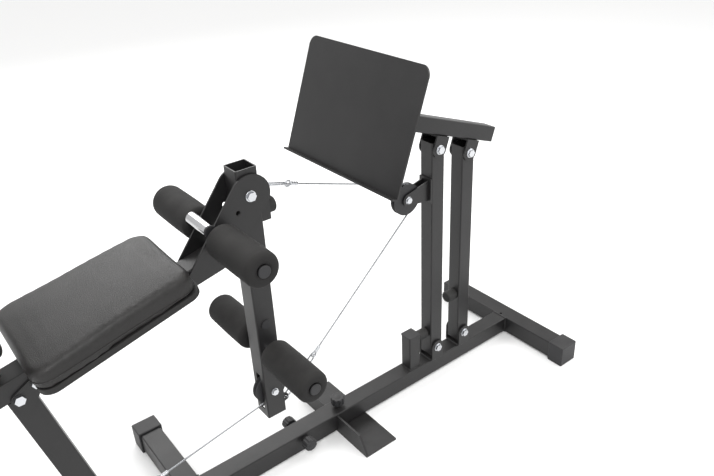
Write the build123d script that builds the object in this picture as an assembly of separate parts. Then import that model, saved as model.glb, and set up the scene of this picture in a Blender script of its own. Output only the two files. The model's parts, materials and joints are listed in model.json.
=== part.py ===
"""Seat, leg developer and leg press station of an adjustable weight bench, in millimetres.

Stations along the bench are measured from the rear face of the middle cross foot; every part is
shifted by x_middle when it is saved, so that the row's origin lies at the middle of the base.
"""
import os
from math import atan2, cos, hypot, radians, sin, tan

from build123d import *

# base frame
rail_size = 50.0
rail_wall = 2.0
rail_corner = 3.0
slide_fit = 0.1
foot_length = 456.0
middle_foot_length = 546.0
floor_gap = 5.0
vent_hole = 7.0
cap_wall = 5.0
cap_depth = 44.0
rear_foot_x = -560.0
front_foot_x = 1026.0
outer_rail_end = 442.0
inner_rail_start = 180.0

# rail knobs and the angle that carries the rail joint
top_knob_x = 428.0
side_knob_x = 308.0
side_knob_lift = 8.0
knob_diameter = 34.0
knob_height = 20.0
knob_flutes = 9
boss_height = 6.0
screw_diameter = 8.0
stand_start = 405.0
stand_width = 93.0
stand_length = 282.0
stand_thick = 5.0
stand_rise = 46.0

# seat and its post
seat_tilt = 12.2
seat_tube_width = 50.0
seat_tube_height = 40.0
seat_tube_top = 580.0
seat_tube_start = -345.0
seat_tube_end = 166.0
seat_tube_wall = 2.0
post_x = -247.0
post_depth = 46.0
board_thick = 12.0
pad_thick = 42.0
seat_rear = -222.0
seat_front = 92.0
seat_rear_width = 262.0
seat_front_width = 234.0
pad_corner = 34.0

# leg developer
pivot_x = 245.0
pivot_z = 710.0
pivot_bolt = 10.0
lever_size = 47.0
lever_wall = 2.5
lever_top = 765.0
lever_bottom = 155.0
plate_thick = 4.0
plate_head = 44.0
upper_bar_x = 165.0
upper_bar_z = 650.0
lower_bar_z = 341.0
bar_diameter = 25.0
bar_wall = 2.0
bar_length = 392.0
roller_length = 154.0
roller_diameter = 72.0
handle_x = 147.0
handle_z = 673.0
handle_length = 74.0
plug_hole_z = 407.0
plug_hole = 18.0
bumper_reach = 22.0
bumper_length = 18.0
bumper_drop = 45.0
bumper_diameter = 34.0

# pulleys and cables
pulley_diameter = 78.0
groove_radius = 33.0
pulley_width = 14.0
pulley_bolt = 8.0
cable_diameter = 4.0
cable_gap = 0.3
lever_pulley_z = 222.0
weight_slope = 10.5
weight_cable_length = 300.0
stop_run = 17.0
link_wire = 4.0
link_width = 12.0
eye_radius = 6.0

# leg press
link_x = 749.0
link_z = 90.0
link_gap = 101.0
link_size = 40.0
link_wall = 2.0
rear_link_length = 571.0
link_overhang = 22.0
link_bolt = 10.0
bar_tilt = 20.0
bar_drop = 32.0
bar_width = 40.0
bar_height = 38.0
bar_front = 78.0
bracket_wall = 4.0
bush_flange = 1.2
bracket_gap = 1.6
open_pivot_hole = 17.0
foot_plate_width = 384.0
foot_plate_height = 262.0
foot_plate_thick = 4.0
foot_plate_lip = 16.0
foot_plate_radius = 22.0
foot_plate_x = 519.0
foot_plate_low = 128.0
press_pulley_x = 662.0
press_pulley_z = 555.0
stop_post_x = 674.0
stop_post_size = 35.0
stop_post_height = 100.0

# backrest
back_pivot_x = -275.0
back_angle = 62.0
back_length = 606.0
back_pad_start = 40.0
back_width = 250.0
back_pad_thick = 45.0
back_tube_width = 47.0
back_tube_height = 40.0
back_pivot_lift = 30.0
back_arm_along = 60.0
back_arm_behind = 90.0
back_pin = 10.0
recline_down = 30.0
recline_up = 12.0

# a bolt's head and nut share these shares of its diameter
hex_across = 1.7
hex_height = 0.65

fit = 0.05
slot_gap = 0.4
x_middle = (front_foot_x + rail_size + rear_foot_x) / 2
rail_z = floor_gap + rail_size / 2
inner_size = rail_size - 2 * rail_wall - 2 * slide_fit
rail_top = floor_gap + rail_size
inner_top = rail_z + inner_size / 2
tilt = radians(seat_tilt)
along = Vector(cos(tilt), 0, sin(tilt))
square_up = Vector(-sin(tilt), 0, cos(tilt))
side = Vector(0, 1, 0)


def save(name, shape):
    """Writes one node, shifted so that the origin is under the middle of the bench."""
    moved = Pos(-x_middle, 0, 0) * shape
    solids = moved.solids()
    moved = solids[0] if len(solids) == 1 else Compound(children=list(solids))
    moved.label = name
    export_step(moved, f"parts/{name}.step")


def tube(start, end, width, height, wall, corner=rail_corner, across=side):
    """Rectangular tube from start to end; width runs along across."""
    start = Vector(*start)
    run = Vector(*end) - start
    face = Plane(origin=start, x_dir=across, z_dir=run.normalized())
    inner = max(corner - wall, 0.6)
    section = RectangleRounded(width, height, corner)
    section -= RectangleRounded(width - 2 * wall, height - 2 * wall, inner)
    return extrude(face * section, run.length)


def rod(start, end, diameter, bore=0.0):
    """Round bar or pipe from start to end."""
    start = Vector(*start)
    run = Vector(*end) - start
    face = Plane(origin=start, z_dir=run.normalized())
    section = Circle(diameter / 2)
    if bore:
        section -= Circle(bore / 2)
    return extrude(face * section, run.length)


def cross_rod(x, z, diameter, low, high, bore=0.0):
    """Round bar or pipe along Y."""
    return rod((x, low, z), (x, high, z), diameter, bore)


def plate_at(section, y, thickness):
    """A flat XZ section given thickness from y towards +Y."""
    return extrude(Plane.XZ.offset(-y) * section, thickness, dir=(0, 1, 0))


def hex_prism(x, z, across_flats, low, high):
    """Hexagonal head or nut along Y."""
    return plate_at(Pos(x, z) * RegularPolygon(across_flats / 2, 6, major_radius=False), low, high - low)


def cross_bolt(x, z, diameter, half_grip):
    """Bolt and nut along Y that clamp what lies within half_grip of the middle."""
    head = diameter * hex_height
    shank = cross_rod(x, z, diameter, -half_grip, half_grip + head + 3)
    return (
        shank
        + hex_prism(x, z, diameter * hex_across, -half_grip - head, -half_grip)
        + hex_prism(x, z, diameter * hex_across, half_grip, half_grip + head)
    )


def flanged_bushes(x, z, bore, outer, flange, inner_face, depth):
    """Two plastic bushes, one in each side wall, with their flanges outside."""
    pair = []
    for way in (-1, 1):
        sleeve = cross_rod(x, z, outer, way * (inner_face - depth), way * inner_face)
        collar = cross_rod(x, z, flange, way * inner_face, way * (inner_face + bush_flange))
        pair.append(sleeve + collar - cross_rod(x, z, bore, -200, 200))
    return Compound(children=[part for bush in pair for part in bush.solids()])


def fluted_knob(diameter, height, stem_diameter, stem_length):
    """Knob with scalloped rim, its stem pointing down from the origin."""
    head = fillet((Cylinder(diameter / 2, height, align=(Align.CENTER, Align.CENTER, Align.MIN))).edges(), 2.5)
    for turn in range(knob_flutes):
        place = Rot(0, 0, turn * 360 / knob_flutes) * Pos(diameter / 2 + 2.2, 0, 0)
        head -= place * Cylinder(4.2, 3 * height)
    neck = Pos(0, 0, -3) * Cylinder(stem_diameter, 3, align=(Align.CENTER, Align.CENTER, Align.MIN))
    stem = Pos(0, 0, -stem_length) * Cylinder(
        stem_diameter / 2, stem_length, align=(Align.CENTER, Align.CENTER, Align.MIN)
    )
    return head + neck + stem


def link_bracket(lift, opening, length):
    """U bracket: a web on the origin's plane and two cheeks that carry a bolt at height lift."""
    outer = opening + 2 * bracket_wall
    cheek = Pos(0, lift / 2) * Rectangle(length, lift) + Pos(0, lift) * Circle(length / 2)
    cheeks = []
    for low in (-outer / 2, opening / 2):
        cheeks.append(plate_at(cheek, low, bracket_wall))
    web = Pos(0, 0, bracket_wall / 2) * Box(length, outer, bracket_wall)
    shape = cheeks[0] + cheeks[1] + web
    return shape - cross_rod(0, lift, link_bolt + 2 * fit, -100, 100)


def save_base():
    """Outer rail, its cross feet, and the angle under the rail joint."""
    rail = tube((rear_foot_x + rail_size, 0, rail_z), (outer_rail_end, 0, rail_z), rail_size, rail_size, rail_wall)
    rail -= rod((top_knob_x, 0, rail_z), (top_knob_x, 0, rail_top + 1), screw_diameter + 1)
    rail -= cross_rod(side_knob_x, rail_z + side_knob_lift, screw_diameter + 1, -rail_size, rail_size)
    save("outer_rail", rail + knob_bosses())
    half = foot_length / 2
    arms = []
    for way in (-1, 1):
        arm = tube(
            (rail_size / 2, way * rail_size / 2, rail_z), (rail_size / 2, way * middle_foot_length / 2, rail_z),
            rail_size, rail_size, rail_wall, across=Vector(1, 0, 0),
        )
        arms.extend(arm.solids())
    save("middle_foot_arms", Compound(children=arms))
    for name, x in (("rear_cross_foot", rear_foot_x), ("front_cross_foot", front_foot_x)):
        foot = tube(
            (x + rail_size / 2, -half, rail_z), (x + rail_size / 2, half, rail_z),
            rail_size, rail_size, rail_wall, across=Vector(1, 0, 0),
        )
        if x == front_foot_x:
            foot -= rod((x + 6, 0, rail_top - rail_wall - 1), (x + 6, 0, rail_top + 1), vent_hole)
        save(name, foot)
    groups = (
        ("base_tube_caps", ((rear_foot_x, foot_length), (0.0, middle_foot_length)), seat_tube_cap()),
        ("front_tube_caps", ((front_foot_x, foot_length),), stop_post_cap()),
    )
    for name, stations, extra in groups:
        caps = [foot_cap(x, way, length / 2) for x, length in stations for way in (-1, 1)] + [extra]
        save(name, Compound(children=[part for cap in caps for part in cap.solids()]))
    save("stand_angle", stand_angle())
    inner = tube((inner_rail_start, 0, rail_z), (front_foot_x, 0, rail_z), inner_size, inner_size, rail_wall)
    save("inner_rail", inner)


def foot_cap(x, way, half):
    """Moulded cap over one end of a cross foot, which also lifts the tube off the floor."""
    outer = rail_size + 2 * cap_wall
    end = half + 3
    middle = (half - cap_depth + end) / 2
    body = Pos(x + rail_size / 2, way * middle, rail_z) * Box(outer, end - half + cap_depth, outer)
    body = fillet(body.edges(), 3)
    hollow = Pos(x + rail_size / 2, way * (half - 100), rail_z) * Box(rail_size, 200, rail_size)
    hollow = fillet(hollow.edges().filter_by(Axis.Y), rail_corner)
    return body - hollow


def stand_angle():
    """Bent plate under the rail joint: a sole on the floor and an upright flange each side of the rail."""
    sole = Pos(stand_start + stand_width / 2, 0, stand_thick / 2) * Box(stand_width, stand_length, stand_thick)
    top = stand_thick + stand_rise
    reach = stand_length / 2
    flange = None
    for way in (-1, 1):
        outline = Polygon(
            (way * rail_size / 2, stand_thick), (way * reach, stand_thick),
            (way * (reach - 26), top), (way * rail_size / 2, top), align=None,
        )
        wing = extrude(Plane.YZ.offset(stand_start) * outline, stand_thick, dir=(1, 0, 0))
        flange = wing if flange is None else flange + wing
    return sole + flange


def save_knobs():
    """Screws that lock the two rails."""
    reach = rail_wall + slide_fit
    stem = reach + boss_height
    knob = fluted_knob(knob_diameter, knob_height, screw_diameter, stem + 3)
    small = fluted_knob(knob_diameter - 2, knob_height, screw_diameter, stem + 3)
    clear = 3.4
    save("rail_top_knob", Pos(top_knob_x, 0, rail_top + boss_height + clear) * knob)
    side_z = rail_z + side_knob_lift
    near = Pos(side_knob_x, -rail_size / 2 - boss_height - clear, side_z) * Rot(90, 0, 0) * small
    far = Pos(side_knob_x, rail_size / 2 + boss_height + clear, side_z) * Rot(-90, 0, 0) * small
    save("rail_side_knob_near", near)
    save("rail_side_knob_far", far)


def knob_bosses():
    """Threaded bosses welded to the outer rail under the knobs."""
    boss = extrude(Circle(9) - Circle(screw_diameter / 2 + fit), boss_height)
    side_z = rail_z + side_knob_lift
    return (
        Pos(top_knob_x, 0, rail_top) * boss
        + Pos(side_knob_x, -rail_size / 2, side_z) * Rot(90, 0, 0) * boss
        + Pos(side_knob_x, rail_size / 2, side_z) * Rot(-90, 0, 0) * boss
    )


def seat_point(x, lift):
    """Point at station x on the seat tube's top line, lifted square to it."""
    base = Vector(x, 0, seat_tube_top + x * tan(tilt))
    return base + square_up * lift


def seat_tube_rear():
    """Middle of the seat tube's rear end."""
    return seat_point(seat_tube_start, -seat_tube_height / 2)


def post_head():
    """Middle of the post's top end, on the underside of the seat tube."""
    return seat_point(post_x, -seat_tube_height)


def save_seat():
    """Inclined seat tube on its post, with gussets, seat board and pad."""
    bar = tube(
        seat_tube_rear(), seat_point(seat_tube_end, -seat_tube_height / 2),
        seat_tube_width, seat_tube_height, seat_tube_wall,
    )
    save("seat_tube", bar)
    head = post_head()
    drop = (head.Z - rail_top + post_depth) / cos(tilt)
    post = tube(head, head - square_up * drop, seat_tube_width, post_depth, seat_tube_wall)
    below = Pos(head.X + head.Z * tan(tilt), 0, rail_top - 100) * Box(400, 200, 200)
    save("seat_post", post - below)
    corners = gusset_holes() + [head - square_up * 22]
    outline = make_hull([edge for spot in corners for edge in (Pos(spot.X, spot.Z) * Circle(13)).edges()])
    gussets = []
    for low in (-seat_tube_width / 2 - plate_thick, seat_tube_width / 2):
        gussets.extend(plate_at(outline, low, plate_thick).solids())
    save("seat_post_gussets", Compound(children=gussets))
    save_seat_pad()


def gusset_holes():
    """Screw places of the gussets, both low on the seat tube."""
    head = post_head()
    return [head + along * 34 + square_up * 12, head - along * 3]


def save_frame_bolts():
    """Hex bolts of the fixed frame: both hinge bolts and the gusset screws."""
    bolts = list(cross_bolt(pivot_x, pivot_z, pivot_bolt, seat_tube_width / 2 + plate_thick).solids())
    hinge = back_pivot()
    bolts += list(cross_bolt(hinge.X, hinge.Z, link_bolt, seat_tube_width / 2 + plate_thick).solids())
    for hole in gusset_holes():
        for way in (-1, 1):
            bolts += list(screw_head(hole.X, hole.Z, way, seat_tube_width / 2 + plate_thick, link_bolt).solids())
    save("frame_bolts", Compound(children=bolts))


def screw_head(x, z, way, face, diameter):
    """Hex head that bears on a side face; its thread is inside the tapped tube."""
    low, high = sorted((way * face, way * (face + diameter * hex_height)))
    return hex_prism(x, z, diameter * hex_across, low, high)


def seat_tube_cap():
    """Plastic cap on the rear end of the seat tube."""
    face = Plane(origin=seat_tube_rear(), x_dir=side, z_dir=-along)
    return extrude(face * RectangleRounded(seat_tube_width, seat_tube_height, rail_corner), 3)


def stop_post_cap():
    """Plastic cap on the stop post."""
    top = inner_top + stop_post_height
    cap = Pos(stop_post_x, 0, top + 2) * Box(stop_post_size + 2, stop_post_size + 2, 4)
    return fillet(cap.edges().filter_by(Axis.Z), 3)


def tapered(rear, front, rear_width, front_width, corner, lift, thick, tube_frame):
    """Pad outline in the plane of a tilted frame, given thickness square to it."""
    outline = Polygon(
        (rear, -rear_width / 2), (front, -front_width / 2), (front, front_width / 2), (rear, rear_width / 2),
        align=None,
    )
    outline = fillet(outline.vertices(), corner)
    return extrude(tube_frame.offset(lift) * outline, thick)


def save_seat_pad():
    """Plywood board on the tube and the upholstered pad on it."""
    frame = Plane(origin=(0, 0, seat_tube_top), x_dir=along, z_dir=square_up)
    rear = seat_rear / cos(tilt)
    front = seat_front / cos(tilt)
    inset = 6
    board = tapered(
        rear + inset, front - inset, seat_rear_width - 2 * inset, seat_front_width - 2 * inset,
        pad_corner - inset, 0, board_thick, frame,
    )
    save("seat_board", board)
    pad = tapered(rear, front, seat_rear_width, seat_front_width, pad_corner, board_thick, pad_thick, frame)
    top = pad.faces().sort_by(Axis(frame.origin, square_up))[-1]
    save("seat_pad", fillet(top.edges(), 12))


def save_side_plates():
    """Cheeks that carry the lever pivot, the upper roller bar and the cross handle."""
    low_rear = seat_point(104, -seat_tube_height / 2)
    low_front = seat_point(158, -seat_tube_height / 2)
    outline = make_hull(
        [
            *(Pos(pivot_x, pivot_z) * Circle(plate_head)).edges(),
            *(Pos(low_rear.X, low_rear.Z) * Circle(seat_tube_height / 2 - 4)).edges(),
            *(Pos(low_front.X, low_front.Z) * Circle(seat_tube_height / 2 - 4)).edges(),
        ]
    )
    outline -= Pos(pivot_x, pivot_z) * Circle(pivot_bolt / 2 + fit)
    outline -= Pos(upper_bar_x, upper_bar_z) * Circle(bar_diameter / 2 + fit)
    outline -= Pos(214, 684) * Circle(5)
    outline -= Pos(handle_x, handle_z) * Circle(bar_diameter / 2)
    plates = []
    for low in (-seat_tube_width / 2 - plate_thick, seat_tube_width / 2):
        plates.extend(plate_at(outline, low, plate_thick).solids())
    save("side_plates", Compound(children=plates))
    half = handle_length / 2
    save("cross_handle", cross_rod(handle_x, handle_z, bar_diameter, -half, half, bar_diameter - 2 * bar_wall))


def bar_plugs(x, z, half):
    """Domed plastic plugs in both ends of a pipe along Y."""
    plugs = []
    bore = bar_diameter - 2 * bar_wall
    for way in (-1, 1):
        stem = cross_rod(x, z, bore, way * (half - 14), way * half)
        head = cross_rod(x, z, bar_diameter, way * half, way * (half + 3))
        rim = head.edges().filter_by(GeomType.CIRCLE).sort_by(lambda edge: way * edge.center().Y)[-1]
        plugs.extend((stem + fillet(rim, 2)).solids())
    return plugs


def save_rollers(place, x, z, extra_plugs):
    """One roller bar with a foam roller each side and end plugs."""
    half = bar_length / 2
    save(f"{place}_roller_bar", cross_rod(x, z, bar_diameter, -half, half, bar_diameter - 2 * bar_wall))
    save(f"{place}_bar_plugs", Compound(children=bar_plugs(x, z, half) + extra_plugs))
    gap = 0.6
    outer = half - gap
    inner = outer - roller_length
    for name, way in (("near", -1), ("far", 1)):
        foam = cross_rod(x, z, roller_diameter, way * inner, way * outer)
        foam = fillet(foam.edges(), 6) - cross_rod(x, z, bar_diameter + 2 * fit, -half - 9, half + 9)
        save(f"{place}_roller_{name}", foam)


def save_lever():
    """Leg developer lever, open at the top, with its bushes, front bracket, bumper and plug."""
    lever = tube((pivot_x, 0, lever_bottom), (pivot_x, 0, lever_top), lever_size, lever_size, lever_wall)
    slot = Pos(pivot_x, 0, lever_pulley_z) * Box(2 * lever_size, pulley_width + 4, 98)
    lever -= slot
    lever -= cross_rod(pivot_x, pivot_z, pivot_bolt + 8, -90, 90)
    lever -= cross_rod(pivot_x, lower_bar_z, bar_diameter + 2 * fit, -90, 90)
    lever -= cross_rod(pivot_x, lever_pulley_z, pulley_bolt + 2 * fit, -90, 90)
    lever -= cross_rod(pivot_x, plug_hole_z, plug_hole, -90, 0)
    save("lever_tube", lever)
    half = lever_size / 2
    bushes = flanged_bushes(pivot_x, pivot_z, pivot_bolt + 2 * fit, pivot_bolt + 8, 30, half, 8)
    save("lever_bushes", bushes)
    bolt = cross_bolt(pivot_x, lever_pulley_z, pulley_bolt, half)
    save("lever_pulley_bolt", bolt)
    save("lever_pulley", pulley(pivot_x, lever_pulley_z, lever_size / 2 - lever_wall - 0.5))
    save_lever_brackets()


def save_lever_brackets():
    """Front bracket with the cable eye and bumper, and the tab for the lower cable link."""
    front = pivot_x + lever_size / 2
    middle = bumper_z() - 2
    reach = bumper_reach
    box = Pos(front + reach / 2, 0, middle) * Box(reach, 36, 42)
    box -= Pos(front + reach / 2 - 2, 0, middle) * Box(reach, 28, 60)
    ear = make_hull(
        [
            *(Pos(*cable_eye()) * Circle(9)).edges(),
            *(Pos(front + 8, middle + 19) * Rectangle(16, 3)).edges(),
        ]
    )
    ear -= Pos(*cable_eye()) * Circle(4.2)
    spine = Pos(front + 1.5, 0, middle + 25) * Box(3, 28, 18)
    tab = make_hull(
        [
            *(Pos(*link_eye()) * Circle(9)).edges(),
            *(Pos(front + 1, lever_bottom + 20) * Rectangle(2, 34)).edges(),
        ]
    )
    tab -= Pos(*link_eye()) * Circle(4.2)
    rib = plate_at(Pos(front + 8, middle + 22) * Rectangle(16, 8), -2, 4)
    upper = box + plate_at(ear, -2, 4) + spine + rib
    shapes = list(upper.solids()) + list(plate_at(tab, -2, 4).solids())
    save("lever_brackets", Compound(children=shapes))
    root = front + reach
    bumper = rod((root, 0, bumper_z()), (root + bumper_length, 0, bumper_z()), bumper_diameter)
    end = bumper.edges().filter_by(GeomType.CIRCLE).sort_by(Axis.X)[-1]
    save("lever_bumper", fillet(end, 6))


def lever_hole_plug():
    """Push-in plug for the spare hole in the lever's near wall."""
    face = -lever_size / 2
    stem = cross_rod(pivot_x, plug_hole_z, plug_hole, face, face + lever_wall + 3)
    return stem + cross_rod(pivot_x, plug_hole_z, plug_hole + 5, face - 2, face)


def bumper_z():
    """Height of the bumper on the lever's front bracket."""
    return pivot_z - bumper_drop


def cable_eye():
    """Hole on the lever's front bracket that takes the press cable's clip."""
    return (pivot_x + lever_size / 2 + 20, pivot_z + 1)


def link_eye():
    """Hole of the tab that takes the press cable's link."""
    return (pivot_x + lever_size / 2 + 14, lever_bottom + 15)


def pulley(x, z, hub):
    """Grooved cable pulley on a horizontal axle; its hub reaches to hub each side of the middle."""
    rim = pulley_diameter / 2
    half = pulley_width / 2
    profile = Polygon(
        (pulley_bolt / 2 + fit, -half), (rim, -half), (rim, -half + 2), (groove_radius, -2.2),
        (groove_radius, 2.2), (rim, half - 2), (rim, half), (pulley_bolt / 2 + fit, half), align=None,
    )
    wheel = revolve(Plane.XZ * profile, Axis.Z)
    boss = Cylinder(pulley_bolt / 2 + 4, 2 * hub) - Cylinder(pulley_bolt / 2 + fit, 3 * hub)
    wheel += boss
    return Pos(x, 0, z) * Rot(90, 0, 0) * wheel


def sweep_round(edges, diameter):
    """Round bar along a chain of edges in the XZ plane."""
    path = Wire(edges)
    start = path.position_at(0)
    face = Plane(origin=start, z_dir=path.tangent_at(0))
    return sweep(face * Circle(diameter / 2), path=path)


def tangent_point(point, centre, radius, turn):
    """Where a line from point touches a circle; turn picks the side."""
    dx = centre[0] - point[0]
    dz = centre[1] - point[1]
    reach = hypot(dx, dz)
    angle = atan2(dz, dx)
    tip = atan2(radius, (reach**2 - radius**2) ** 0.5)
    run = (reach**2 - radius**2) ** 0.5
    return point[0] + run * cos(angle + turn * tip), point[1] + run * sin(angle + turn * tip)


def save_cables():
    """Press cable over the upright's pulley, and weight cable round the lever's pulley."""
    line = groove_radius + cable_diameter / 2 + cable_gap
    wheel = (press_pulley_x, press_pulley_z)
    eye = (cable_eye()[0] + 58, cable_eye()[1] - 16)
    low = (link_eye()[0] + 88, link_eye()[1] + 78)
    top = tangent_point(eye, wheel, line, 1)
    bottom = tangent_point(low, wheel, line, -1)
    start_angle = atan2(top[1] - wheel[1], top[0] - wheel[0])
    end_angle = atan2(bottom[1] - wheel[1], bottom[0] - wheel[0])
    half_way = (start_angle + end_angle) / 2
    middle = (wheel[0] + line * cos(half_way), wheel[1] + line * sin(half_way))
    route = [
        Line(flat(eye_edge(eye, top)), flat(top)),
        ThreePointArc(flat(top), flat(middle), flat(bottom)),
        Line(flat(bottom), flat(eye_edge(low, bottom))),
    ]
    cable = sweep_round(route, cable_diameter)
    cable += cable_end(eye, top) + cable_end(low, bottom)
    save("press_cable", cable)
    save("press_cable_clip", wire_link(cable_eye(), eye))
    save("press_cable_link", wire_link(link_eye(), low))
    save_weight_cable(line)


def flat(point):
    """Point of the XZ plane in the row's frame."""
    return (point[0], 0, point[1])


def heading(start, end):
    """Unit vector in the XZ plane from one point to another."""
    return Vector(end[0] - start[0], 0, end[1] - start[1]).normalized()


def eye_edge(centre, towards):
    """Where the cable leaves the round eye at its end."""
    spot = Vector(*flat(centre)) + heading(centre, towards) * eye_radius
    return (spot.X, spot.Z)


def cable_end(centre, towards):
    """Round eye and crimp sleeve at a cable's end."""
    run = heading(centre, towards)
    eye = Torus(eye_radius, cable_diameter / 2)
    eye = Pos(*flat(centre)) * Rot(90, 0, 0) * eye
    start = Vector(*flat(centre)) + run * (eye_radius + cable_diameter / 2 + 1)
    return eye + rod(start, start + run * 16, 2 * cable_diameter)


def wire_link(start, end):
    """Closed wire link, square to the cable's eyes, from one hole's centre to another."""
    run = Vector(*flat(end)) - Vector(*flat(start))
    length = run.length
    half = link_width / 2
    ring = [
        Line((half, half), (length - half, half)),
        ThreePointArc((length - half, half), (length, 0), (length - half, -half)),
        Line((length - half, -half), (half, -half)),
        ThreePointArc((half, -half), (0, 0), (half, half)),
    ]
    path = Wire([edge for item in ring for edge in item.edges()])
    face = Plane(origin=(length / 2, half, 0), z_dir=(1, 0, 0))
    loop = sweep(face * Circle(link_wire / 2), path=path)
    frame = Plane(origin=flat(start), x_dir=run.normalized(), z_dir=run.normalized().cross(side))
    return frame * loop


def save_weight_cable(line):
    """Cable to the weight stack: a stop sleeve inside the lever, round its pulley, then a taut run."""
    centre = Vector(pivot_x, 0, lever_pulley_z)
    slope = radians(weight_slope)
    run = Vector(-cos(slope), 0, -sin(slope))
    under = centre + Vector(sin(slope), 0, -cos(slope)) * line
    tail = under + run * weight_cable_length
    over = centre + Vector(0, 0, line)
    stop = over - Vector(stop_run, 0, 0)
    front = centre - run * line
    end = (tail.X, tail.Z)
    route = [
        Line(flat(eye_edge(end, (under.X, under.Z))), under),
        ThreePointArc(under, front, over),
        Line(over, stop),
    ]
    cable = sweep_round(route, cable_diameter)
    sleeve = rod(stop + Vector(6, 0, 0), stop, 1.3 * cable_diameter)
    save("weight_cable", cable + sleeve + cable_end(end, (under.X, under.Z)))
    clip_end = tail + run * 62
    save("weight_cable_clip", wire_link(end, (clip_end.X, clip_end.Z)))


def save_press():
    """Two swinging uprights, the bar they carry, the foot plate and the pulley bracket."""
    front_length = rear_link_length - link_gap * tan(radians(bar_tilt))
    opening = link_size + 2 * bracket_gap
    bolt_face = opening / 2 + bracket_wall
    lower_bolts = []
    upper_bolts = []
    brackets = []
    stations = (("rear", link_x, rear_link_length), ("front", link_x + link_gap, front_length))
    for name, x, length in stations:
        top = link_z + length
        upright = tube((x, 0, link_z - link_overhang), (x, 0, top + 18), link_size, link_size, link_wall)
        bores = ((link_z, link_bolt + 8), (top, link_bolt + 8 if name == "rear" else open_pivot_hole))
        for height, bore in bores:
            upright -= cross_rod(x, height, bore, -60, 60)
        save(f"{name}_upright", upright)
        brackets.extend((Pos(x, 0, inner_top) * link_bracket(link_z - inner_top, opening, link_size)).solids())
        lower_bolts.extend(cross_bolt(x, link_z, link_bolt, bolt_face).solids())
        upper_bolts.extend(cross_bolt(x, top, link_bolt, bolt_face).solids())
        bushes = list(upright_bushes(x, link_z).solids())
        if name == "rear":
            bushes += list(upright_bushes(x, top).solids())
        save(f"{name}_upright_bushes", Compound(children=bushes))
    save("upright_brackets", Compound(children=brackets))
    save("lower_pivot_bolts", Compound(children=lower_bolts))
    save("upper_pivot_bolts", Compound(children=upper_bolts))
    save_top_bar(opening)
    save_press_pulley()


def upright_bushes(x, z):
    """Flanged bushes in an upright's side walls."""
    return flanged_bushes(x, z, link_bolt + 2 * fit, link_bolt + 8, 24, link_size / 2, 6)


def save_top_bar(opening):
    """Sloping bar over the uprights, with its brackets, end cap and foot plate."""
    lean = radians(bar_tilt)
    down = Vector(cos(lean), 0, -sin(lean))
    normal = Vector(sin(lean), 0, cos(lean))
    top = Vector(link_x, 0, link_z + rear_link_length)
    centre = top + normal * (bar_drop + bar_height / 2)
    plate_reach = (foot_plate_x - centre.X) / cos(lean)
    start = centre + down * plate_reach
    end = centre + down * (bar_front + link_gap / cos(lean) - 8)
    bar = tube(start, end, bar_width, bar_height, link_wall)
    save("top_bar", bar)
    cap = extrude(
        Plane(origin=end, x_dir=side, z_dir=down) * RectangleRounded(bar_width, bar_height, rail_corner), 3
    )
    save("top_bar_cap", cap)
    brackets = []
    for reach in (0.0, link_gap / cos(lean)):
        shape = Rot(180, 0, 0) * link_bracket(bar_drop, opening, link_size)
        spot = top + down * reach + normal * bar_drop
        brackets.extend((Pos(*spot) * Rot(0, bar_tilt, 0) * shape).solids())
    save("top_bar_brackets", Compound(children=brackets))
    save("foot_plate", foot_plate(start, down, normal))


def foot_plate(start, down, normal):
    """Flat plate square to the bar, with rounded top corners and a lip bent back along its lower edge."""
    face = Plane(origin=start, x_dir=(0, -1, 0), z_dir=-down)
    high = foot_plate_height - foot_plate_low
    outline = Pos(0, (high - foot_plate_low) / 2) * Rectangle(foot_plate_width, foot_plate_height)
    corners = outline.vertices().sort_by(Axis.Y)
    outline = fillet(corners[-2:], foot_plate_radius)
    plate = extrude(face * outline, foot_plate_thick)
    lip = Pos(0, -foot_plate_low + foot_plate_thick / 2) * Rectangle(foot_plate_width, foot_plate_thick)
    return plate + extrude(face * lip, foot_plate_lip)


def save_press_pulley():
    """Pulley behind the rear upright on its bracket."""
    back = link_x - link_size / 2
    opening = pulley_width + 3
    reach = back - press_pulley_x
    cheek = make_hull(
        [
            *(Pos(press_pulley_x, press_pulley_z) * Circle(15)).edges(),
            *(Pos(back - 3, press_pulley_z + 4) * Rectangle(4, 52)).edges(),
        ]
    )
    cheek -= Pos(press_pulley_x, press_pulley_z) * Circle(pulley_bolt / 2 + fit)
    near = plate_at(cheek, -opening / 2 - 3, 3)
    far = plate_at(cheek, opening / 2, 3)
    pad = Pos(back - 2, 0, press_pulley_z + 4) * Box(4, link_size, 64)
    save("press_pulley_bracket", near + far + pad)
    save("press_pulley_bolt", cross_bolt(press_pulley_x, press_pulley_z, pulley_bolt, opening / 2 + 3))
    save("press_pulley", pulley(press_pulley_x, press_pulley_z, opening / 2 - 0.5))


def save_stops():
    """Post and rubber bumpers that the uprights rest against."""
    top = inner_top + stop_post_height
    post = tube((stop_post_x, 0, inner_top), (stop_post_x, 0, top), stop_post_size, stop_post_size, 2.0)
    save("stop_post", post)
    start = stop_post_x + stop_post_size / 2
    end = link_x - link_size / 2 - 0.4
    bumper = rod((start, 0, top - 16), (end, 0, top - 16), 28)
    tip = bumper.edges().filter_by(GeomType.CIRCLE).sort_by(Axis.X)[-1]
    save("stop_bumper", fillet(tip, 5))
    face = link_x + link_gap - link_size / 2
    bumper = rod((face - 30, 0, 215), (face, 0, 215), 30)
    tip = bumper.edges().filter_by(GeomType.CIRCLE).sort_by(Axis.X)[0]
    save("upright_bumper", fillet(tip, 5))


def back_pivot():
    """Axis of the backrest's hinge, over the rear end of the seat tube."""
    return seat_point(back_pivot_x, back_pivot_lift)


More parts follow.
